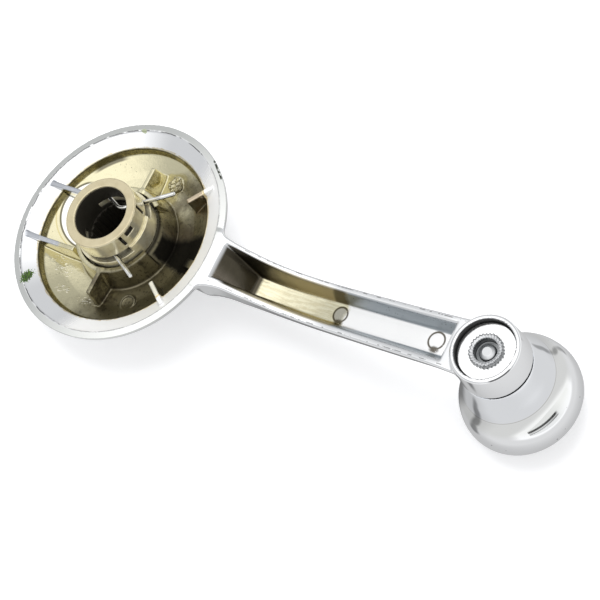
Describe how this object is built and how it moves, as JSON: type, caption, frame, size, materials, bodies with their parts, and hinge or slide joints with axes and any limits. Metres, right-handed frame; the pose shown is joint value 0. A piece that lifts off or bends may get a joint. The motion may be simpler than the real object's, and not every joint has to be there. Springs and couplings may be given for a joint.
{
  "type": "window winder handle",
  "caption": "Crank handle for a car window winder: cupped hub with a spring wire clip, channelled cast arm and a turning knob on a riveted pin.",
  "frame": {"origin": "on the window regulator shaft's axis, in the plane of the cup's rim", "axes": "+Z out of the back along the shaft, towards the door; +X along the arm to the knob; the handle is held up by the shaft in its socket"},
  "size_m": [0.1369, 0.054, 0.0386],
  "materials": {
    "chrome_casting": "polished chrome over a zinc casting, nickel-coloured and aged inside the cup and channel",
    "nickel_steel": "nickel plated, aged to a warm tone",
    "spring_wire": "bright spring wire",
    "zinc_steel": "satin zinc plated steel",
    "chrome_knob": "polished chrome",
    "bush_brass": "plain turned brass"
  },
  "bodies": {
    "handle": {"handle_casting": "chrome_casting", "hub_socket": "nickel_steel", "knob_pin": "zinc_steel", "rivet_washer": "zinc_steel", "bow_washer": "zinc_steel"},
    "clip": {"retaining_clip": "spring_wire"},
    "knob": {"knob_shell": "chrome_knob", "knob_bush": "bush_brass", "knob_cap": "chrome_knob"}
  },
  "joints": [
    {"name": "knob_spin", "type": "hinge", "parent": "handle", "child": "knob", "pos_m": [0.0965, 0, -0.016], "axis": [0, 0, 1], "continuous": true},
    {"name": "clip_release", "type": "slide", "parent": "handle", "child": "clip", "axis": [-1, 0, 0], "range_m": [0, 0.0035]}
  ]
}
